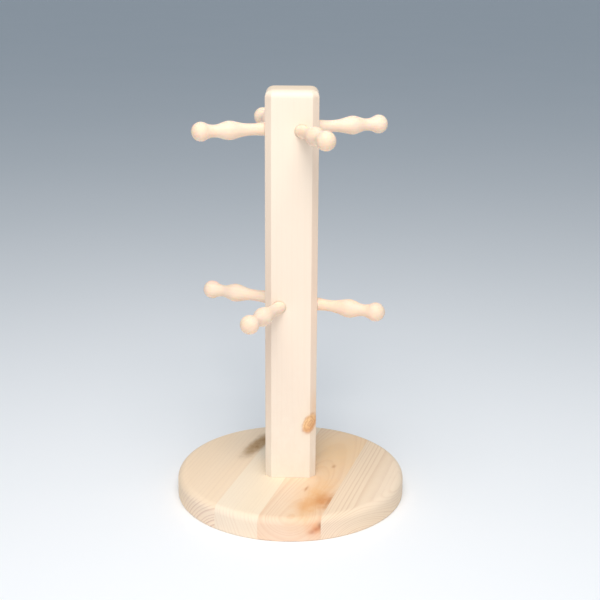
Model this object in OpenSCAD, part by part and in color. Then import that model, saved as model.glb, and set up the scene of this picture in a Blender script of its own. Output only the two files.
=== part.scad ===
// Mug tree: a square post on a round, edge-glued base, with two tiers of turned pegs.
// Millimetres, +Z up. The origin is the middle of the base's underside, and the
// post's front face looks along -Y.

/* [Base] */
// Diameter of the round base
base_diameter = 203; // [180:1:240]
// Thickness of the base boards
base_thickness = 20.6; // [16:0.2:26]
// Radius of the rounded upper edge
base_edge_radius = 6.4; // [3:0.1:8]
// Radius of the eased lower edge
base_foot_radius = 1.2; // [0.5:0.1:2]
// Turn of the board seams, clockwise from above, away from straight back
grain_angle = 16.5; // [0:0.5:30]
// Distance of the left seam from the centre
seam_left = 38.4; // [34:0.2:50]
// Distance of the middle seam from the centre
seam_middle = 2.2; // [0:0.2:4]
// Distance of the right seam from the centre
seam_right = 52.6; // [44:0.2:60]

/* [Post] */
// Width of the square post
post_width = 44.5; // [42:0.5:50]
// Height of the whole mug tree
overall_height = 361; // [345:1:400]
// Width of the flat cut off each long edge, measured along the face
post_chamfer = 5.3; // [3:0.1:7]
// Radius of the rounded edges of the crown
crown_radius = 6.5; // [3:0.1:8]

/* [Pegs] */
// Height of the upper tier of pegs
upper_tier = 328; // [300:1:335]
// Height of the lower tier of pegs
lower_tier = 178.5; // [150:0.5:200]
// Turn of the upper tier, anticlockwise from above
upper_turn = 20; // [10:1:25]
// Turn of the lower tier against the upper one, clockwise from above
tier_stagger = 45; // [40:1:45]
// Distance of a ball's centre from the post's axis
peg_reach = 78.3; // [72:0.1:88]
// Diameter of the ball at a peg's tip
ball_diameter = 15.9; // [14:0.1:18]
// Diameter of the bead
bead_diameter = 15.8; // [13:0.1:18]
// Diameter of the neck between bead and ball
neck_diameter = 10.2; // [8:0.1:11]
// Diameter of the waist near the post
waist_diameter = 9.8; // [8:0.1:10.4]
// Diameter of the root and of the tenon inside the post
tenon_diameter = 11; // [10.4:0.1:11.5]

/* [Screws] */
// Distance of each screw from the post's axis
screw_offset = 10; // [9:0.5:12]
// Length of a screw
screw_length = 50; // [45:1:55]
// Diameter over the screw thread
screw_diameter = 4.8; // [4:0.1:5]

/* [Hidden] */

fine = 96;
medium = 48;
overlap = 1;
board_colour = "#f4d9b4";
knotty_board_colour = "#efc794";
post_colour = "#fbe9cf";
peg_colour = "#fae3c6";
screw_colour = "#c9b27a";

base_radius = base_diameter / 2;
post_half = post_width / 2;
corner_wall = post_half * sqrt(2) - post_chamfer / sqrt(2);
lower_turn = upper_turn - tier_stagger;

// The four ways a peg can point, as turns from the tier's right-hand peg.
point_right = 0;
point_back = 90;
point_left = 180;
point_front = 270;

// Places along a peg, measured out from the post's axis.
tenon_end = 9.5;
root_end = 25;
waist_at = 33;
bead_at = 54.7;
neck_at = 67.3;
tenon_chamfer = 0.8;

// How steeply each stretch of a peg is cut: above 1 it starts gently, below 1 it starts steeply.
root_cut = 1;
swell_cut = 1.5;
fall_cut = 0.95;
turning_steps = 10;
hollow_steps = 6;
ball_steps = 14;

// The drilled socket goes past the tenon, so that spare glue has somewhere to go.
socket_clearance = 0.05;
socket_end = 8.5;
drill_point_length = 2.5;

// The screw's head sits below the underside of the base.
head_diameter = 9.4;
head_height = 3.2;
head_recess = 0.6;
head_rim = 0.4;
shank_length = 18;
thread_root_ratio = 0.68;
thread_pitch = 2;
screw_tip_length = 6;
cross_width = 1.1;
cross_length = 5;
cross_depth = 2.2;
clearance_hole = 5.2;

// One turned stretch between two radii, u running from 0 to 1.
function turned(r0, r1, cut, u) = r0 + (r1 - r0) * (1 - cos(180 * pow(u, cut))) / 2;

function stretch(x0, r0, x1, r1, cut) = [
  for (i = [1 : turning_steps])
    let (u = i / turning_steps)
      [x0 + (x1 - x0) * u, turned(r0, r1, cut, u)]
];

// Outline of a peg: distance from the post's axis, then radius. The hollow before the ball is
// part of a circle that touches both the neck and the ball.
function peg_outline() =
  let (
    tenon_r = tenon_diameter / 2,
    waist_r = waist_diameter / 2,
    bead_r = bead_diameter / 2,
    neck_r = neck_diameter / 2,
    ball_r = ball_diameter / 2,
    reach = peg_reach - neck_at,
    hollow_r = (reach * reach + neck_r * neck_r - ball_r * ball_r) / (2 * (ball_r - neck_r)),
    hollow_turn = atan(reach / (neck_r + hollow_r))
  )
  concat(
    [[tenon_end, 0], [tenon_end, tenon_r - tenon_chamfer]],
    [[tenon_end + tenon_chamfer, tenon_r], [root_end, tenon_r]],
    stretch(root_end, tenon_r, waist_at, waist_r, root_cut),
    stretch(waist_at, waist_r, bead_at, bead_r, swell_cut),
    stretch(bead_at, bead_r, neck_at, neck_r, fall_cut),
    [
      for (i = [1 : hollow_steps])
        let (a = hollow_turn * i / hollow_steps)
          [neck_at + hollow_r * sin(a), neck_r + hollow_r * (1 - cos(a))]
    ],
    [
      for (i = [1 : ball_steps])
        let (a = (90 + hollow_turn) * (1 - i / ball_steps))
          [peg_reach + ball_r * cos(a), i == ball_steps ? 0 : ball_r * sin(a)]
    ]
  );

// Lays something that stands along +Z down along +X, then turns it to its place in a tier.
module place_in_tier(height, turn) {
  translate([0, 0, height])
    rotate([0, 0, turn])
      rotate([0, 90, 0])
        children();
}

module peg(height, turn) {
  color(peg_colour)
    place_in_tier(height, turn)
      rotate_extrude($fn = medium)
        polygon([for (p = peg_outline()) [p[1], p[0]]]);
}

// A blind hole drilled from outside the post, with the cone that a drill leaves.
module socket(height, turn) {
  socket_r = tenon_diameter / 2 + socket_clearance;
  place_in_tier(height, turn) {
    translate([0, 0, socket_end])
      cylinder(r = socket_r, h = post_width, $fn = medium);
    translate([0, 0, socket_end - drill_point_length])
      cylinder(r1 = 0, r2 = socket_r, h = drill_point_length, $fn = medium);
  }
}

module base_blank() {
  rotate_extrude($fn = fine) {
    difference() {
      square([base_radius, base_thickness]);
      edge_cutter(base_thickness, base_edge_radius, 1);
      edge_cutter(0, base_foot_radius, -1);
    }
  }
}

// What a rounding bit takes off the rim: a square corner less a quarter of a circle.
module edge_cutter(face, radius, up) {
  difference() {
    translate([base_radius - radius, up > 0 ? face - radius : face - overlap])
      square([radius + overlap, radius + overlap]);
    translate([base_radius - radius, face - up * radius])
      circle(r = radius, $fn = medium);
  }
}

module screw_places(side) {
  rotate([0, 0, -grain_angle])
    translate([side * screw_offset, 0, 0])
      children();
}

module screw_hole() {
  translate([0, 0, -overlap])
    cylinder(d = clearance_hole, h = base_thickness + 2 * overlap, $fn = medium);
  translate([0, 0, -overlap])
    cylinder(d = head_diameter, h = head_recess + head_rim + overlap, $fn = medium);
  translate([0, 0, head_recess + head_rim])
    cylinder(d1 = head_diameter, d2 = clearance_hole, h = head_height - head_rim, $fn = medium);
}

// One strip of the glued-up blank, between two distances from the centre across the grain.
module board(from, to) {
  difference() {
    intersection() {
      base_blank();
      rotate([0, 0, -grain_angle])
        translate([from, -base_diameter, -overlap])
          cube([to - from, 2 * base_diameter, base_thickness + 2 * overlap]);
    }
    for (side = [-1, 1])
      if (side * screw_offset > from && side * screw_offset < to)
        screw_places(side) screw_hole();
  }
}

module base_board_left() {
  color(board_colour) board(-base_diameter, -seam_left);
}

module base_board_middle_left() {
  color(board_colour) board(-seam_left, seam_middle);
}

module base_board_middle_right() {
  color(knotty_board_colour) board(seam_middle, seam_right);
}

module base_board_right() {
  color(board_colour) board(seam_right, base_diameter);
}

// The cross-section of the post, a square with its corners cut off.
module post_section() {
  cut = post_half - post_chamfer;
  polygon([
    [cut, -post_half], [post_half, -cut], [post_half, cut], [cut, post_half],
    [-cut, post_half], [-post_half, cut], [-post_half, -cut], [-cut, -post_half]
  ]);
}

// What rounding one edge of the crown takes off, where the wall stands at this distance from the axis.
module crown_cut(wall, turn) {
  rotate([0, 0, turn])
    translate([wall - crown_radius, 0, overall_height - crown_radius])
      difference() {
        translate([0, -post_width, 0])
          cube([post_width, 2 * post_width, post_width]);
        rotate([90, 0, 0])
          cylinder(r = crown_radius, h = 3 * post_width, center = true, $fn = medium);
      }
}

module pilot_hole() {
  depth = screw_length + head_recess - base_thickness;
  translate([0, 0, base_thickness - overlap])
    cylinder(d = screw_diameter, h = depth - screw_tip_length + overlap, $fn = medium);
  translate([0, 0, base_thickness + depth - screw_tip_length])
    cylinder(d1 = screw_diameter, d2 = 0, h = screw_tip_length, $fn = medium);
}

module post() {
  color(post_colour)
    difference() {
      translate([0, 0, base_thickness])
        linear_extrude(overall_height - base_thickness)
          post_section();
      for (turn = [0 : 90 : 270]) {
        crown_cut(post_half, turn);
        crown_cut(corner_wall, turn + 45);
      }
      for (turn = [point_right, point_back, point_left, point_front])
        socket(upper_tier, upper_turn + turn);
      for (turn = [point_right, point_left, point_front])
        socket(lower_tier, lower_turn + turn);
      for (side = [-1, 1])
        screw_places(side) pilot_hole();
    }
}

module peg_upper_left() {
  peg(upper_tier, upper_turn + point_left);
}

module peg_upper_right() {
  peg(upper_tier, upper_turn + point_right);
}

module peg_upper_front() {
  peg(upper_tier, upper_turn + point_front);
}

module peg_upper_back() {
  peg(upper_tier, upper_turn + point_back);
}

module peg_lower_left() {
  peg(lower_tier, lower_turn + point_left);
}

module peg_lower_right() {
  peg(lower_tier, lower_turn + point_right);
}

module peg_lower_front() {
  peg(lower_tier, lower_turn + point_front);
}

// Half outline of one thread ridge, stacked to make the thread.
module thread(length) {
  root_r = screw_diameter / 2 * thread_root_ratio;
  crest_r = screw_diameter / 2;
  turns = floor(length / thread_pitch);
  for (i = [0 : turns - 1])
    translate([0, 0, i * thread_pitch]) {
      cylinder(r1 = root_r, r2 = crest_r, h = thread_pitch / 2, $fn = medium);
      translate([0, 0, thread_pitch / 2])
        cylinder(r1 = crest_r, r2 = root_r, h = thread_pitch / 2, $fn = medium);
    }
}

// A flat-head wood screw with a plain cross recess, standing on its head.
module wood_screw() {
  shank_r = screw_diameter / 2;
  thread_start = head_height + shank_length;
  thread_length = screw_length - thread_start - screw_tip_length;
  difference() {
    union() {
      cylinder(d = head_diameter, h = head_rim, $fn = medium);
      translate([0, 0, head_rim])
        cylinder(d1 = head_diameter, d2 = screw_diameter, h = head_height - head_rim, $fn = medium);
      translate([0, 0, head_height])
        cylinder(r = shank_r, h = shank_length, $fn = medium);
      translate([0, 0, thread_start])
        thread(thread_length);
      translate([0, 0, thread_start + floor(thread_length / thread_pitch) * thread_pitch])
        cylinder(r1 = shank_r * thread_root_ratio, r2 = 0, h = screw_tip_length, $fn = medium);
    }
    for (turn = [0, 90])
      rotate([0, 0, turn])
        translate([-cross_length / 2, -cross_width / 2, -overlap])
          cube([cross_length, cross_width, cross_depth + overlap]);
  }
}

module base_screw_left() {
  color(screw_colour)
    screw_places(-1)
      translate([0, 0, head_recess])
        wood_screw();
}

module base_screw_right() {
  color(screw_colour)
    screw_places(1)
      translate([0, 0, head_recess])
        wood_screw();
}

base_board_left();
base_board_middle_left();
base_board_middle_right();
base_board_right();
post();
peg_upper_left();
peg_upper_right();
peg_upper_front();
peg_upper_back();
peg_lower_left();
peg_lower_right();
peg_lower_front();
base_screw_left();
base_screw_right();
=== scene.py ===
"""Mug tree of raw sanded pine: the looks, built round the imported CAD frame.

Every wooden piece is remade as a finer mesh with eased edges, real sockets and screw holes, and carries
its own wood coordinates, so that growth rings run through it as they do through a solid board."""

import math

import bmesh
import bpy
from mathutils import Matrix, Vector


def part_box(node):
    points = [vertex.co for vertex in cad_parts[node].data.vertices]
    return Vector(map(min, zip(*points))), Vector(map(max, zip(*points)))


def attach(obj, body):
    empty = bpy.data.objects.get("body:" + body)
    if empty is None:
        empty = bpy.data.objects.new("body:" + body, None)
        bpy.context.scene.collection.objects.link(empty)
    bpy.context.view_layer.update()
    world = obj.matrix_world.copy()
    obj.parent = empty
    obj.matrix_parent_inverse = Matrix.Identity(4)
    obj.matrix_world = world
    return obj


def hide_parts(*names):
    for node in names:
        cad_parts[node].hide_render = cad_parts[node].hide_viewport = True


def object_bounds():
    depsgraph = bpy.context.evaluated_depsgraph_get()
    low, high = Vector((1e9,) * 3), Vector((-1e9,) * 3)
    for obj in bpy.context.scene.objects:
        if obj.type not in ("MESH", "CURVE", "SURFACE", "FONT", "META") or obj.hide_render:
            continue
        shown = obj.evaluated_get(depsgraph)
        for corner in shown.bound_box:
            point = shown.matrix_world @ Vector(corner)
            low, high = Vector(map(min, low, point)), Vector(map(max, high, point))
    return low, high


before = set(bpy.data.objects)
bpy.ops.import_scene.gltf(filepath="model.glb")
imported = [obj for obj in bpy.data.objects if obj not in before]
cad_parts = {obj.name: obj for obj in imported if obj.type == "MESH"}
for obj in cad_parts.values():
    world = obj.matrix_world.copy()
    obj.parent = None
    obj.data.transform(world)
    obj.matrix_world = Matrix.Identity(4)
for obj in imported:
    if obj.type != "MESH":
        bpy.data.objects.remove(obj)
cad_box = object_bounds()

MM = 0.001
BODY = "root"

# ---------------------------------------------------------------- sizes, in metres, as in the CAD
base_low, base_high = cad_box[0], cad_box[1]
post_low, post_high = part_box("post")
BASE_RADIUS = (base_high[0] - base_low[0]) / 2
BASE_TOP = post_low[2]
POST_HALF = (post_high[0] - post_low[0]) / 2
POST_TOP = post_high[2]
POST_CHAMFER = 5.3 * MM
CROWN_RADIUS = 6.5 * MM
RIM_RADIUS = 6.4 * MM
FOOT_RADIUS = 1.2 * MM

GRAIN_ANGLE = math.radians(-16.5)
SEAMS = (-38.4 * MM, 2.2 * MM, 52.6 * MM)
GLUE_GAP = 0.03 * MM

UPPER_TIER = 328 * MM
LOWER_TIER = 178.5 * MM
UPPER_TURN = math.radians(20)
LOWER_TURN = math.radians(-25)
POINTING = {"right": 0.0, "back": 90.0, "left": 180.0, "front": 270.0}

# Places along a peg are measured out from the post's axis.
TENON_RADIUS = 5.5 * MM
TENON_END = 9.5 * MM
TENON_CHAMFER = 0.8 * MM
SOCKET_RADIUS = 5.55 * MM
SOCKET_END = 8.5 * MM
DRILL_POINT = 2.5 * MM
ROOT_END = 25 * MM
WAIST_AT, WAIST_RADIUS = 33 * MM, 4.9 * MM
BEAD_AT, BEAD_RADIUS = 54.7 * MM, 7.9 * MM
NECK_AT, NECK_RADIUS = 67.3 * MM, 5.1 * MM
BALL_AT, BALL_RADIUS = 78.3 * MM, 7.95 * MM
# How steeply each stretch is cut: above 1 it starts gently, below 1 it starts steeply.
ROOT_CUT, SWELL_CUT, FALL_CUT = 1, 1.5, 0.95

SCREW_OFFSET = 10 * MM
SCREW_RADIUS = 2.4 * MM
SCREW_TOP = 50.6 * MM
SCREW_TIP = 6 * MM
HEAD_RADIUS = 4.7 * MM
CLEARANCE_RADIUS = 2.6 * MM
HEAD_FLOOR = 1 * MM
HEAD_TOP = 3.8 * MM

# How many steps each round shape is made of.
BOARD_STEPS = 256
PEG_STEPS = 96
SOCKET_STEPS = 64
SCREW_HOLE_STEPS = 48

POST_EASING = 0.35 * MM
BOARD_EASING = 0.12 * MM
SOCKET_MARGIN = 9 * MM
CUTTER_OVERRUN = 5 * MM


# ---------------------------------------------------------------- meshes
def piece_from(bm, name):
    """Puts a bmesh into the scene as an object."""
    bmesh.ops.recalc_face_normals(bm, faces=bm.faces)
    mesh = bpy.data.meshes.new(name)
    bm.to_mesh(mesh)
    bm.free()
    obj = bpy.data.objects.new(name, mesh)
    bpy.context.collection.objects.link(obj)
    return obj


def apply_modifiers(obj):
    """Fixes an object's modifiers into its mesh."""
    graph = bpy.context.evaluated_depsgraph_get()
    mesh = bpy.data.meshes.new_from_object(obj.evaluated_get(graph))
    obj.modifiers.clear()
    obj.data = mesh


def lathe(outline, steps, place=Matrix()):
    """A bmesh turned about +Z from (height, radius) points, whose first and last radius are 0."""
    bm = bmesh.new()
    rings = []
    for height, radius in outline:
        count = 1 if radius == 0 else steps
        turns = [2 * math.pi * i / steps for i in range(count)]
        corners = [(radius * math.cos(t), radius * math.sin(t), height) for t in turns]
        rings.append([bm.verts.new(place @ Vector(c)) for c in corners])
    for low, high in zip(rings, rings[1:]):
        for i in range(steps):
            j = (i + 1) % steps
            quad = (low[i % len(low)], low[j % len(low)], high[j % len(high)], high[i % len(high)])
            bm.faces.new(list(dict.fromkeys(quad)))
    return bm


def arc(centre, radius, start, end, steps):
    """Points on an arc as (height, radius) pairs, angles in degrees from the radius axis."""
    angles = [math.radians(start + (end - start) * i / steps) for i in range(steps + 1)]
    return [(centre[0] + radius * math.sin(a), centre[1] + radius * math.cos(a)) for a in angles]


def turned_stretch(x0, r0, x1, r1, cut, steps):
    """A stretch of turned wood that eases from one radius to the next."""
    points = []
    for i in range(1, steps + 1):
        u = i / steps
        ease = (1 - math.cos(math.pi * u**cut)) / 2
        points.append((x0 + (x1 - x0) * u, r0 + (r1 - r0) * ease))
    return points


def subtract(obj, cutters):
    """Cuts closed shapes out of an object."""
    for cutter in cutters:
        modifier = obj.modifiers.new("cut", "BOOLEAN")
        modifier.operation = "DIFFERENCE"
        modifier.solver = "EXACT"
        modifier.object = cutter
    bpy.context.view_layer.update()
    apply_modifiers(obj)
    for cutter in cutters:
        bpy.data.objects.remove(cutter)


def ease_edges(obj, width, segments):
    """Takes the sharpness off an object's edges, as a quick sanding does."""
    modifier = obj.modifiers.new("ease", "BEVEL")
    modifier.width = width
    modifier.segments = segments
    modifier.limit_method = "ANGLE"
    modifier.angle_limit = math.radians(25)
    apply_modifiers(obj)


def smooth_by_angle(obj):
    """Shades an object smooth between its sharp edges, with its large flat faces kept flat."""
    obj.data.shade_smooth()
    obj.data.set_sharp_from_angle(angle=math.radians(35))
    modifier = obj.modifiers.new("flat_faces", "WEIGHTED_NORMAL")
    modifier.mode = "FACE_AREA"
    modifier.weight = 100
    modifier.keep_sharp = True
    apply_modifiers(obj)


def give_wood(obj, place, material):
    """Gives a piece its wood: where each point lies in it, in mm, and how far each face is end grain.

    place takes a point of the row frame to wood coordinates in metres: x across the grain,
    y along it, z depth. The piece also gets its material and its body."""
    mesh = obj.data
    coordinates = mesh.attributes.new("wood", "FLOAT_VECTOR", "POINT")
    for vertex, item in zip(mesh.vertices, coordinates.data):
        item.vector = (place @ vertex.co) / MM
    along = place.to_3x3().row[1].normalized()
    end_grain = mesh.attributes.new("end_grain", "FLOAT", "CORNER")
    for corner, item in zip(mesh.corner_normals, end_grain.data):
        item.value = abs(corner.vector.dot(along))
    mesh.materials.clear()
    mesh.materials.append(material)
    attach(obj, BODY)


def mark_chamfer_shade(obj):
    """Stores how far each face belongs to the four chamfers, which take a painted shade in their colour.
    """
    mesh = obj.data
    planed = mesh.attributes.new("planed", "FLOAT", "CORNER")
    for corner, item in zip(mesh.corner_normals, planed.data):
        diagonal = 2 * abs(corner.vector.x * corner.vector.y)
        item.value = max(0.0, min(1.0, (diagonal - 0.5) / 0.4))


def wood_frame(along, depth):
    """The matrix from the row frame to wood coordinates, from the grain's direction and the depth's."""
    along = Vector(along).normalized()
    across = along.cross(Vector(depth)).normalized()
    return Matrix((across, along, across.cross(along))).to_4x4()


# ---------------------------------------------------------------- materials
def linear(colour):
    """A colour as seen on screen, 0 to 255, as Blender's linear numbers."""
    parts = [c / 255 for c in colour]
    return [c / 12.92 if c <= 0.04045 else ((c + 0.055) / 1.055) ** 2.4 for c in parts] + [1.0]


# Scales of the wood's noises, in cycles per mm across the grain, along it and in depth.
SWAY_SCALE = (0.012, 0.0035, 0.012)
WIGGLE_SCALE = (0.12, 0.02, 0.12)
BAND_SCALE = (0.03, 0.002, 0.03)
BROAD_SCALE = (0.018, 0.004, 0.018)
FIBRE_SCALE = (2.6, 0.07, 2.6)
CANAL_SCALE = (1.5, 0.05, 1.5)
PATCH_SCALE = (0.16, 0.1, 0.16)
OUTLINE_SCALE = (0.13, 0.13, 0.13)
KNOT_SCALE = (0.2, 0.2, 0.2)
RIM_SCALE = (0.3, 0.3, 0.3)

WOOD_RELIEF = 0.12 * MM
METAL_RELIEF = 0.05 * MM


class Field:
    """A number or a vector inside a material, so that a pattern is written as a formula."""

    def __init__(self, tree, socket):
        self.tree = tree
        self.socket = socket

    def node(self, kind, *inputs, **settings):
        """Adds a node, sets its properties, and feeds its first inputs."""
        node = self.tree.nodes.new(kind)
        for key, value in settings.items():
            setattr(node, key, value)
        for socket, value in zip(node.inputs, inputs):
            self.feed(socket, value)
        return node

    def feed(self, socket, value):
        """Links a field to a socket, or sets the socket to a plain value; None leaves it alone."""
        if isinstance(value, Field):
            self.tree.links.new(value.socket, socket)
        elif value is not None:
            socket.default_value = value

    def math(self, operation, *others):
        node = self.node("ShaderNodeMath", self, *others, operation=operation)
        return Field(self.tree, node.outputs[0])

    def __add__(self, other):
        return self.math("ADD", other)

    def __sub__(self, other):
        return self.math("SUBTRACT", other)

    def __mul__(self, other):
        return self.math("MULTIPLY", other)

    def __truediv__(self, other):
        return self.math("DIVIDE", other)

    def scaled(self, scale):
        node = self.node("ShaderNodeVectorMath", self, scale, operation="MULTIPLY")
        return Field(self.tree, node.outputs[0])

    def shifted(self, offset):
        node = self.node("ShaderNodeVectorMath", self, offset, operation="ADD")
        return Field(self.tree, node.outputs[0])

    def dot(self, direction):
        node = self.node("ShaderNodeVectorMath", self, direction, operation="DOT_PRODUCT")
        return Field(self.tree, node.outputs["Value"])

    def parts(self):
        node = self.node("ShaderNodeSeparateXYZ", self)
        return [Field(self.tree, output) for output in node.outputs]

    def noise(self, scale, detail, roughness, seed):
        """Smooth noise about 0, from about -1 to 1, of this vector times scale."""
        node = self.node("ShaderNodeTexNoise", noise_dimensions="4D")
        self.feed(node.inputs["Vector"], self.scaled(scale))
        node.inputs["W"].default_value = seed
        node.inputs["Scale"].default_value = 1.0
        node.inputs["Detail"].default_value = detail
        node.inputs["Roughness"].default_value = roughness
        return (Field(self.tree, node.outputs[0]) - 0.5) * 2.0

    def noise_along(self, scale, seed):
        """Noise from 0 to 1 of this number alone."""
        node = self.node("ShaderNodeTexNoise", noise_dimensions="1D")
        self.feed(node.inputs["W"], self * scale + seed)
        node.inputs["Scale"].default_value = 1.0
        node.inputs["Detail"].default_value = 1.0
        return Field(self.tree, node.outputs[0])

    def step(self, low, high, to_low=0.0, to_high=1.0):
        """A smooth step from to_low, at low and under, to to_high, at high and over."""
        node = self.node("ShaderNodeMapRange", interpolation_type="SMOOTHSTEP")
        for socket, value in zip(node.inputs, (self, low, high, to_low, to_high)):
            self.feed(socket, value)
        return Field(self.tree, node.outputs[0])

    def bell(self):
        """exp(-x), for a soft spot from a squared distance."""
        return (self * -1.0).math("EXPONENT")

    def mix(self, low, high):
        """A colour between two, by this number."""
        node = self.tree.nodes.new("ShaderNodeMix")
        node.data_type = "RGBA"
        sockets = {socket.identifier: socket for socket in node.inputs}
        self.feed(sockets["Factor_Float"], self)
        self.feed(sockets["A_Color"], low)
        self.feed(sockets["B_Color"], high)
        results = {socket.identifier: socket for socket in node.outputs}
        return Field(self.tree, results["Result_Color"])

    def tint(self, amount):
        """This colour times a number."""
        node = self.node("ShaderNodeVectorMath", self, operation="SCALE")
        self.feed(node.inputs["Scale"], amount)
        return Field(self.tree, node.outputs[0])


def new_material(name):
    """A new material with its node tree and its Principled shader."""
    material = bpy.data.materials.new(name)
    material.use_nodes = True
    tree = material.node_tree
    return material, tree, tree.nodes["Principled BSDF"]


def stored(tree, name, output):
    """What the mesh stores under a name."""
    node = tree.nodes.new("ShaderNodeAttribute")
    node.attribute_name = name
    return Field(tree, node.outputs[output])


def add_bump(tree, shader, height, strength, distance):
    """Roughens a shader's surface by a field of heights."""
    bump = tree.nodes.new("ShaderNodeBump")
    bump.inputs["Strength"].default_value = strength
    bump.inputs["Distance"].default_value = distance
    height.feed(bump.inputs["Height"], height)
    tree.links.new(bump.outputs["Normal"], shader.inputs["Normal"])


def spot(place, mark, size, seed, wobble):
    """Squared distance from a mark's centre in units of size, with a wobbling outline.

    A mark's slant is how far it leans across the grain for each millimetre along it."""
    away = place.shifted([-c for c in mark["centre"]])
    across = away.dot((1 / size[0], -mark.get("slant", 0.0) / size[0], 0))
    along = away.dot((0, 1 / size[1], 0))
    depth = away.dot((0, 0, 1 / size[2]))
    square = across * across + along * along + depth * depth
    return square * (place.noise(OUTLINE_SCALE, 3.0, 0.6, seed) * wobble + 1.0)


def add_knot(place, knot, colour, height, seed):
    """Lays a branch's end over the wood: its own rings, darker on one side, in a thin dark rim."""
    reach = spot(place, knot, knot["size"], seed + 29, 0.2).math("SQRT")
    inside = reach.step(1.25, 0.75)
    wander = place.noise(KNOT_SCALE, 2.0, 0.5, seed) * 1.5
    turns = (reach * knot["turns"] + wander).math("FRACT")
    ring = turns.step(0.1, 0.7) - turns.step(0.8, 1.0)
    lit_side = place.shifted([-c for c in knot["centre"]]).dot(knot["pale_side"]).step(-1.0, 1.0)
    body = lit_side.mix(linear(knot["colour"]), linear(knot["pale"]))
    body = (ring * 0.5).mix(body, linear(knot["dark"]))
    colour = (inside * knot["strength"]).mix(colour, body)
    rim = ((reach - 1.0) * 5.0).math("POWER", 2.0).bell()
    uneven = place.noise(RIM_SCALE, 2.0, 0.5, seed + 31).step(-0.5, 0.3)
    colour = (rim * uneven * knot["rim"]).mix(colour, linear(knot["dark"]))
    return colour, inside * 0.4 - ring * inside * 0.5 + height


def pine(name, look):
    """Sanded raw pine: growth rings about a pith, bent round knots, with fibres, stained patches and
    patches of painted shade.
    """
    material, tree, shader = new_material(name)
    place = stored(tree, "wood", "Vector")
    end_grain = stored(tree, "end_grain", "Fac").step(0.5, 0.95)
    planed = stored(tree, "planed", "Fac")
    seed = look["seed"]

    # The distance from the pith, which wanders, and which the knots swell.
    across, along, depth = place.parts()
    sway = place.noise(SWAY_SCALE, 2.0, 0.5, seed) * look["sway"]
    lean = place.noise(SWAY_SCALE, 2.0, 0.5, seed + 5) * look["sway"]
    wiggle = place.noise(WIGGLE_SCALE, 2.0, 0.5, seed + 9) * look["wiggle"]
    pith_across, pith_depth = look["pith"]
    side = across - pith_across + sway
    down = depth - pith_depth + lean - along * look["tilt"]
    radius = (side * side + down * down).math("SQRT") + wiggle
    for knot in look["knots"]:
        swell = spot(place, knot, knot["reach"], seed + 3, 0.1).bell()
        radius = radius + swell * knot["lift"]

    # Growth rings: each darkens slowly through its summer wood and ends sharply.
    phase = radius / look["ring"] + radius.noise_along(0.11, seed) * 1.6
    ring_part = phase.math("FRACT")
    ring_index = phase.math("FLOOR")
    late = ring_part.step(0.45, 0.88) - ring_part.step(0.9, 1.0)
    strength = ring_index.noise_along(3.7, seed + 2).step(0.3, 0.7, look["faintest"], 1.0)
    contrast = end_grain * (look["end_contrast"] - look["contrast"]) + look["contrast"]
    band = place.noise(BAND_SCALE, 2.0, 0.5, seed + 7) * 0.3 + 0.85
    rings = late * strength * contrast * band

    # Colour: pale and warm patches, rings, resin canals, fibres, end grain, and painted shade on the
    # chamfers.
    broad = place.noise(BROAD_SCALE, 2.0, 0.5, seed + 11).step(-0.6, 0.6)
    ground = broad.mix(linear(look["pale"]), linear(look["warm"]))
    colour = rings.mix(ground, linear(look["late"]))

    fibre = place.noise(FIBRE_SCALE, 3.0, 0.65, seed + 13)
    canal = place.noise(CANAL_SCALE, 1.0, 0.5, seed + 17).step(0.42, 0.75)
    colour = (canal * late * 0.35).mix(colour, linear(look["late"]))
    colour = colour.tint(fibre * look["fibre"] + 1.0)
    colour = (end_grain * look["end_tint"]).mix(colour, linear(look["end"]))
    # Painted shade: the chamfers get a darker, pinker colour that stands in for the weaker light on faces
    # turned away from the front.
    colour = (planed * look["planed_tint"]).mix(colour, linear(look["planed"]))

    # Stains of the wood's own, and patches of painted shade, each a soft spot of colour.
    for tint_patch in look["stains"]:
        away = spot(place, tint_patch, tint_patch["reach"], seed + 19, tint_patch.get("ragged", 0.8))
        if "sharp" in tint_patch:
            away = away.math("POWER", tint_patch["sharp"])
        cloud = place.noise(PATCH_SCALE, 4.0, 0.6, seed + 23) * 0.5 + 0.9
        patch = away.bell() * cloud
        colour = (patch * tint_patch["strength"]).mix(colour, linear(tint_patch["colour"]))

    height = fibre * 0.35 - late * look["contrast"] * 0.5
    for knot in look["knots"]:
        if knot["size"]:  # a knot without a size stays under the surface and only bends the rings
            colour, height = add_knot(place, knot, colour, height, seed)
    add_bump(tree, shader, height, look["bump"], WOOD_RELIEF)
    rough = fibre * 0.06 + late * -0.08 + look["roughness"]
    rough.feed(shader.inputs["Roughness"], rough)
    colour.feed(shader.inputs["Base Color"], colour)
    shader.inputs["Specular IOR Level"].default_value = 0.35
    shader.inputs["Subsurface Weight"].default_value = look["glow"]
    shader.inputs["Subsurface Radius"].default_value = (1.0, 0.45, 0.25)
    shader.inputs["Subsurface Scale"].default_value = 5 * MM
    return material


# What the pieces' woods share. Each look adds its seed, its pith (across, depth) and ring width in
# mm, its colours and how much its rings contrast along the grain and on the end grain. Marks and
# knots have a centre and a reach (across, along, depth) in mm.
PINE = {
    "tilt": 0.0,
    "sway": 4.0,
    "wiggle": 0.25,
    "faintest": 0.35,
    "fibre": 0.05,
    "end_tint": 0.35,
    "roughness": 0.6,
    "bump": 0.35,
    "glow": 0.0,
    # Painted shade colour for the chamfers, and how strongly it is laid on; none by default.
    "planed": (232, 196, 168),
    "planed_tint": 0.0,
    "knots": [],
    "stains": [],
}


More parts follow.
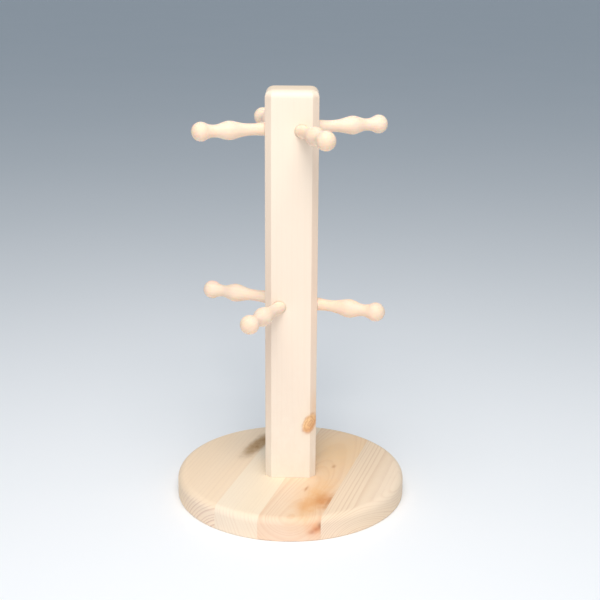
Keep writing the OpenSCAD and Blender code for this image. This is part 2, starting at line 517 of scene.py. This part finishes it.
def metal(name):
    """Yellow-passivated steel of a cheap wood screw, with fine turning marks."""
    material, tree, shader = new_material(name)
    coordinates = tree.nodes.new("ShaderNodeTexCoord")
    place = Field(tree, coordinates.outputs["Object"]).scaled((1 / MM, 1 / MM, 1 / MM))
    cloud = place.noise((0.5, 0.5, 0.5), 3.0, 0.6, 2.0).step(-0.5, 0.6)
    scratch = place.noise((3.0, 3.0, 12.0), 2.0, 0.5, 4.0)
    colour = cloud.mix(linear((196, 172, 104)), linear((214, 196, 140))).tint(scratch * 0.08 + 1.0)
    colour.feed(shader.inputs["Base Color"], colour)
    rough = scratch * 0.08 + 0.34
    rough.feed(shader.inputs["Roughness"], rough)
    add_bump(tree, shader, scratch, 0.2, METAL_RELIEF)
    shader.inputs["Metallic"].default_value = 1.0
    return material


# ---------------------------------------------------------------- pegs
def peg_outline():
    """Outline of a turned mug peg from tenon to ball: (distance from the post's axis, radius).

    The hollow before the ball is part of a circle that touches both the neck and the ball."""
    reach = BALL_AT - NECK_AT
    hollow = (reach**2 + NECK_RADIUS**2 - BALL_RADIUS**2) / (2 * (BALL_RADIUS - NECK_RADIUS))
    turn = math.degrees(math.atan(reach / (NECK_RADIUS + hollow)))
    points = [(TENON_END, 0), (TENON_END, TENON_RADIUS - TENON_CHAMFER)]
    points += [(TENON_END + TENON_CHAMFER, TENON_RADIUS), (ROOT_END, TENON_RADIUS)]
    points += turned_stretch(ROOT_END, TENON_RADIUS, WAIST_AT, WAIST_RADIUS, ROOT_CUT, 10)
    points += turned_stretch(WAIST_AT, WAIST_RADIUS, BEAD_AT, BEAD_RADIUS, SWELL_CUT, 28)
    points += turned_stretch(BEAD_AT, BEAD_RADIUS, NECK_AT, NECK_RADIUS, FALL_CUT, 22)
    points += arc((NECK_AT, NECK_RADIUS + hollow), hollow, 180, 180 - turn, 12)[1:-1]
    points += arc((BALL_AT, 0), BALL_RADIUS, -turn, 90, 32)[:-1]
    return points + [(BALL_AT + BALL_RADIUS, 0)]


def peg_place(tier, turn, side):
    """Lays +Z down along a peg's direction, at its tier's height."""
    spin = Matrix.Rotation(turn + math.radians(POINTING[side]), 4, "Z")
    return Matrix.Translation((0, 0, tier)) @ spin @ Matrix.Rotation(math.pi / 2, 4, "Y")


def socket_cutter(place):
    """What the drill takes out of the post for one peg."""
    outside = 2 * POST_HALF
    outline = [(SOCKET_END - DRILL_POINT, 0), (SOCKET_END, SOCKET_RADIUS)]
    outline += [(outside, SOCKET_RADIUS), (outside, 0)]
    return piece_from(lathe(outline, SOCKET_STEPS, place), "cutter")


def make_peg(name, place, material, shift):
    """One turned peg, with a stretch of grain of its own."""
    peg = piece_from(lathe(peg_outline(), PEG_STEPS, place), "wood_" + name)
    smooth_by_angle(peg)
    direction = place.to_3x3() @ Vector((0, 0, 1))
    wood = Matrix.Translation(shift) @ wood_frame(direction, (0, 0, 1))
    give_wood(peg, wood, material)
    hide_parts(name)


# ---------------------------------------------------------------- post
def screw_place(side):
    """Where a base screw stands: beside the post's axis, across the boards' seams."""
    return Matrix.Rotation(GRAIN_ANGLE, 4, "Z") @ Matrix.Translation((side * SCREW_OFFSET, 0, 0))


def pilot_cutter(place):
    """The hole that a base screw makes in the post's foot."""
    outline = [(BASE_TOP - CUTTER_OVERRUN, 0), (BASE_TOP - CUTTER_OVERRUN, SCREW_RADIUS)]
    outline += [(SCREW_TOP - SCREW_TIP, SCREW_RADIUS), (SCREW_TOP, 0)]
    return piece_from(lathe(outline, SCREW_HOLE_STEPS, place), "cutter")


def post_ring(bm, height, outset):
    """The post's eight corners at one height; outset is how far its faces are moved out."""
    half = POST_HALF + outset
    cut = POST_HALF - POST_CHAMFER + outset * (math.sqrt(2) - 1)
    corners = [(cut, -half), (half, -cut), (half, cut), (cut, half)]
    corners += [(-x, -y) for x, y in corners]
    return [bm.verts.new((x, y, height)) for x, y in corners]


def make_post(material, peg_places):
    """The square post: chamfers, a rounded crown, a socket for each peg, pilot holes in its foot.

    Edges just over and under each tier keep long thin faces away from the sockets."""
    bm = bmesh.new()
    levels = [(BASE_TOP, 0)]
    levels += [(tier + side * SOCKET_MARGIN, 0) for tier in (LOWER_TIER, UPPER_TIER) for side in (-1, 1)]
    levels += arc((POST_TOP - CROWN_RADIUS, -CROWN_RADIUS), CROWN_RADIUS, 0, 90, 12)
    rings = [post_ring(bm, height, outset) for height, outset in levels]
    for low, high in zip(rings, rings[1:]):
        for i in range(8):
            bm.faces.new((low[i], low[(i + 1) % 8], high[(i + 1) % 8], high[i]))
    bm.faces.new(rings[0])
    bm.faces.new(rings[-1])
    post = piece_from(bm, "wood_post")
    cutters = [socket_cutter(place) for place in peg_places]
    cutters += [pilot_cutter(screw_place(side)) for side in (-1, 1)]
    subtract(post, cutters)
    ease_edges(post, POST_EASING, 2)
    smooth_by_angle(post)
    mark_chamfer_shade(post)
    give_wood(post, wood_frame((0, 0, 1), (0, -1, 0)), material)
    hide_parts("post")


# ---------------------------------------------------------------- base
def base_outline():
    """Half outline of the round base, as (height, radius): eased foot edge, rounded top edge."""
    foot = arc((FOOT_RADIUS, BASE_RADIUS - FOOT_RADIUS), FOOT_RADIUS, -90, 0, 4)
    rim = arc((BASE_TOP - RIM_RADIUS, BASE_RADIUS - RIM_RADIUS), RIM_RADIUS, 0, 90, 14)
    return [(0, 0)] + foot + rim + [(BASE_TOP, 0)]


def keep_between(bm, low, high):
    """Trims a bmesh to a strip across the boards' grain and closes its cut faces."""
    across = Matrix.Rotation(GRAIN_ANGLE, 3, "Z") @ Vector((1, 0, 0))
    for limit, outward in ((low, -1), (high, 1)):
        if abs(limit) > BASE_RADIUS:
            continue
        whole = bm.verts[:] + bm.edges[:] + bm.faces[:]
        cut = bmesh.ops.bisect_plane(
            bm,
            geom=whole,
            plane_co=across * limit,
            plane_no=across * outward,
            clear_outer=True,
        )
        edges = [item for item in cut["geom_cut"] if isinstance(item, bmesh.types.BMEdge)]
        bmesh.ops.contextual_create(bm, geom=edges)


def screw_hole_cutter(place):
    """Clearance hole and countersink for a base screw."""
    outline = [(-MM, 0), (-MM, HEAD_RADIUS), (HEAD_FLOOR, HEAD_RADIUS)]
    outline += [(HEAD_TOP, CLEARANCE_RADIUS), (BASE_TOP + MM, CLEARANCE_RADIUS), (BASE_TOP + MM, 0)]
    return piece_from(lathe(outline, SCREW_HOLE_STEPS, place), "cutter")


def make_board(name, low, high, material):
    """One strip of the edge-glued base, between two seams."""
    bm = lathe(base_outline(), BOARD_STEPS)
    keep_between(bm, low + GLUE_GAP, high - GLUE_GAP)
    board = piece_from(bm, "wood_" + name)
    sides = [side for side in (-1, 1) if low < side * SCREW_OFFSET < high]
    if sides:
        subtract(board, [screw_hole_cutter(screw_place(side)) for side in sides])
    ease_edges(board, BOARD_EASING, 1)
    smooth_by_angle(board)
    along = Matrix.Rotation(GRAIN_ANGLE, 3, "Z") @ Vector((0, 1, 0))
    give_wood(board, wood_frame(along, (0, 0, 1)), material)
    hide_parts(name)


# ---------------------------------------------------------------- looks
# A dark brown patch on the base top, behind and left of the post's foot; both boards there share it, so
# it runs across their seam.
DARK_PATCH_BY_FOOT = {
    "centre": (-44, 42, 20.6),
    "slant": 0.12,
    "reach": (8, 31, 11),
    "sharp": 2,
    "ragged": 0.5,
    "colour": (170, 129, 78),
    "strength": 0.93,
}
LEFT_BOARD = PINE | {
    "seed": 3.0,
    "pith": (-20, -25),
    "ring": 2.9,
    "sway": 1.2,
    "pale": (253, 229, 200),
    "warm": (251, 223, 190),
    "late": (196, 140, 106),
    "contrast": 0.09,
    "end_contrast": 0.95,
    "faintest": 0.6,
    "end": (255, 234, 218),
    "stains": [DARK_PATCH_BY_FOOT],
}
MIDDLE_LEFT_BOARD = PINE | {
    "seed": 7.0,
    "pith": (92, 48),
    "ring": 3.1,
    "pale": (252, 234, 209),
    "warm": (250, 229, 199),
    "late": (226, 186, 154),
    "contrast": 0.1,
    "end_contrast": 0.42,
    "end": (250, 228, 210),
    "stains": [DARK_PATCH_BY_FOOT],
}
MIDDLE_RIGHT_BOARD = PINE | {
    "seed": 11.0,
    "pith": (29, 40),
    "tilt": 0.12,
    "ring": 3.0,
    "sway": 2.4,
    "wiggle": 0.6,
    "pale": (246, 220, 193),
    "warm": (245, 213, 179),
    "late": (214, 156, 108),
    "contrast": 0.3,
    "end_contrast": 0.32,
    "end": (250, 214, 192),
    "knots": [{"centre": (50, -54, 18), "reach": (16, 26, 18), "lift": 8, "size": None}],
    "stains": [
        {"centre": (38, -52, 20), "reach": (13, 46, 12), "colour": (242, 186, 122), "strength": 0.8},
        {"centre": (45, -56, 20), "reach": (8, 14, 12), "colour": (214, 136, 66), "strength": 0.85},
        {"centre": (34, -70, 20), "reach": (6, 12, 10), "colour": (230, 164, 104), "strength": 0.6},
        # Painted shade: a deeper tan patch behind and right of the post's foot, where the post shades
        # this board.
        {"centre": (26, 42, 20), "reach": (40, 50, 14), "colour": (254, 212, 158), "strength": 0.7},
        {"centre": (26, -38, 20.6), "reach": (1, 5, 6), "colour": (196, 130, 84), "strength": 0.7},
        {"centre": (37, 13, 20.6), "reach": (1.6, 3, 6), "colour": (204, 146, 100), "strength": 0.7},
        {"centre": (51, -57, 20.6), "reach": (1.6, 13, 14), "colour": (184, 116, 60), "strength": 0.6},
        {"centre": (49, -88, 11), "reach": (6, 10, 7), "colour": (244, 168, 110), "strength": 0.7},
        {"centre": (52.2, -86, 13), "reach": (2.2, 9, 3.6), "colour": (160, 92, 50), "strength": 0.8},
        {"centre": (49.4, -88, 10.8), "reach": (2.6, 8, 2.2), "colour": (206, 118, 76), "strength": 0.75},
        {"centre": (46.4, -89, 8.2), "reach": (2.4, 8, 2.0), "colour": (200, 114, 78), "strength": 0.7},
    ],
}
RIGHT_BOARD = PINE | {
    "seed": 17.0,
    "pith": (80, -8),
    "ring": 1.7,
    "sway": 0.6,
    "pale": (247, 224, 196),
    "warm": (246, 219, 188),
    "late": (204, 156, 116),
    "contrast": 0.44,
    "end_contrast": 0.85,
    "faintest": 0.3,
    "end": (252, 228, 210),
    "stains": [
        {"centre": (92, 0, 20.6), "reach": (13, 90, 9), "colour": (250, 227, 201), "strength": 0.8},
    ],
}
POST_WOOD = PINE | {
    "seed": 23.0,
    "pith": (60, -30),
    "ring": 3.6,
    "pale": (250, 233, 215),
    "warm": (248, 227, 207),
    "late": (233, 198, 166),
    "contrast": 0.09,
    "end_contrast": 0.35,
    "bump": 0.2,
    "end": (226, 202, 170),
    "end_tint": 0.6,
    # Painted shade darkens the post's four chamfers.
    "planed_tint": 0.36,
    "knots": [
        {
            "centre": (16.6, 72.5, 21),
            "slant": 0.25,
            "reach": (13, 24, 14),
            "lift": 5,
            "size": (5.8, 8.6, 12),
            "turns": 2.4,
            "pale": (251, 208, 150),
            "colour": (233, 168, 106),
            "dark": (206, 140, 92),
            "pale_side": (-0.12, 0.1, 0.0),
            "strength": 0.9,
            "rim": 0.4,
        }
    ],
    "stains": [
        {"centre": (18, 73, 20), "reach": (9, 15, 12), "colour": (248, 218, 180), "strength": 0.5},
        {"centre": (20.5, 86, 20), "reach": (3.5, 15, 6), "colour": (236, 186, 142), "strength": 0.6},
        {"centre": (20, 290, 20), "reach": (4, 90, 7), "colour": (236, 194, 164), "strength": 0.4},
        {"centre": (0, 20, 22), "reach": (60, 55, 30), "colour": (255, 248, 232), "strength": 0.7},
        {"centre": (0, 330, 22), "reach": (60, 110, 14), "colour": (247, 231, 211), "strength": 0.6},
    ],
}
PEG_WOOD = PINE | {
    "seed": 31.0,
    "pith": (34, 12),
    "ring": 2.4,
    "sway": 2.0,
    "pale": (252, 226, 204),
    "warm": (250, 218, 191),
    "late": (236, 196, 160),
    "contrast": 0.2,
    "end_contrast": 0.3,
    "end": (247, 218, 188),
    "glow": 0.4,
    "end_tint": 0.3,
    "roughness": 0.52,
    "bump": 0.2,
}

BEYOND = 2 * BASE_RADIUS
BOARDS = [
    ("base_board_left", -BEYOND, SEAMS[0], LEFT_BOARD, "pine_base"),
    ("base_board_middle_left", SEAMS[0], SEAMS[1], MIDDLE_LEFT_BOARD, "pine_base"),
    ("base_board_middle_right", SEAMS[1], SEAMS[2], MIDDLE_RIGHT_BOARD, "knotty_pine_base"),
    ("base_board_right", SEAMS[2], BEYOND, RIGHT_BOARD, "pine_base"),
]
PEGS = [("upper", side) for side in ("left", "right", "front", "back")]
PEGS += [("lower", side) for side in ("left", "right", "front")]
# How far apart in the wood each peg's grain is from the next one's.
PEG_SHIFT = (41 * MM, 173 * MM, 23 * MM)
TIERS = {"upper": (UPPER_TIER, UPPER_TURN), "lower": (LOWER_TIER, LOWER_TURN)}

for name, low, high, look, slot in BOARDS:
    make_board(name, low, high, pine(name + "_pine", look))

peg_places = {(tier, side): peg_place(*TIERS[tier], side) for tier, side in PEGS}
make_post(pine("post_pine", POST_WOOD), peg_places.values())

peg_pine = pine("peg_pine", PEG_WOOD)
for count, (tier, side) in enumerate(PEGS):
    shift = [count * step for step in PEG_SHIFT]
    make_peg(f"peg_{tier}_{side}", peg_places[tier, side], peg_pine, shift)

screw_metal = metal("zinc_steel")
for name in ("base_screw_left", "base_screw_right"):
    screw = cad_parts[name]
    screw.data.materials.clear()
    screw.data.materials.append(screw_metal)


# ---------------------------------------------------------------- floor, light and camera
FLOOR_RADIUS = 40
CAMERA_PLACE = (0.0075, -0.9493, 0.458)
CAMERA_LENS = 68.39
CAMERA_SENSOR = 36
CAMERA_DOWN = math.radians(16.39)
CAMERA_ROLL = math.radians(0.38)


def make_floor():
    """A plain pale floor, wide enough to fill every view."""
    material, tree, shader = new_material("floor_paint")
    coordinates = tree.nodes.new("ShaderNodeTexCoord")
    place = Field(tree, coordinates.outputs["Object"])
    cloud = place.noise((2, 2, 2), 2.0, 0.5, 1.0).step(-1, 1)
    colour = cloud.mix(linear((247, 248, 249)), linear((250, 250, 251)))
    colour.feed(shader.inputs["Base Color"], colour)
    shader.inputs["Roughness"].default_value = 0.8
    shader.inputs["Specular IOR Level"].default_value = 0.1
    bm = bmesh.new()
    bmesh.ops.create_circle(bm, cap_ends=True, segments=64, radius=FLOOR_RADIUS)
    floor = piece_from(bm, "floor")
    floor.location.z = base_low[2]
    floor.data.materials.append(material)


def make_light(name, position, target, size, power, colour):
    """A square soft box that looks at a target."""
    data = bpy.data.lights.new(name, "AREA")
    data.size = size
    data.energy = power
    data.color = colour
    light = bpy.data.objects.new(name, data)
    bpy.context.collection.objects.link(light)
    light.location = position
    light.rotation_euler = (Vector(target) - Vector(position)).to_track_quat("-Z", "Y").to_euler()


def make_world(colour, strength):
    """Even, slightly cool light from all round."""
    world = bpy.data.worlds.new("studio")
    world.use_nodes = True
    background = world.node_tree.nodes["Background"]
    background.inputs["Color"].default_value = linear(colour)
    background.inputs["Strength"].default_value = strength
    bpy.context.scene.world = world


def make_camera():
    """Stands in front, a little right of the middle, looking down on the base."""
    data = bpy.data.cameras.new("camera")
    data.sensor_width = CAMERA_SENSOR
    data.lens = CAMERA_LENS
    camera = bpy.data.objects.new("camera", data)
    bpy.context.collection.objects.link(camera)
    pitch = Matrix.Rotation(math.pi / 2 - CAMERA_DOWN, 4, "X")
    roll = Matrix.Rotation(CAMERA_ROLL, 4, "Z")
    camera.matrix_world = Matrix.Translation(CAMERA_PLACE) @ pitch @ roll
    bpy.context.scene.camera = camera


make_floor()
make_light("key", (0.0, -1.9, 2.42), (0, 0, 0.18), 0.9, 23, (1.0, 0.97, 0.93))
make_light("front_fill", (0.0, -3.0, 1.3), (0, 0, 0.2), 1.3, 15, (1.0, 0.95, 0.9))
make_light("overhead", (0.0, -0.5, 1.2), (0, -0.3, 0), 0.9, 9, (1.0, 0.98, 0.96))
make_world((175, 189, 202), 0.595)
make_camera()
bpy.context.scene.view_settings.view_transform = "Standard"
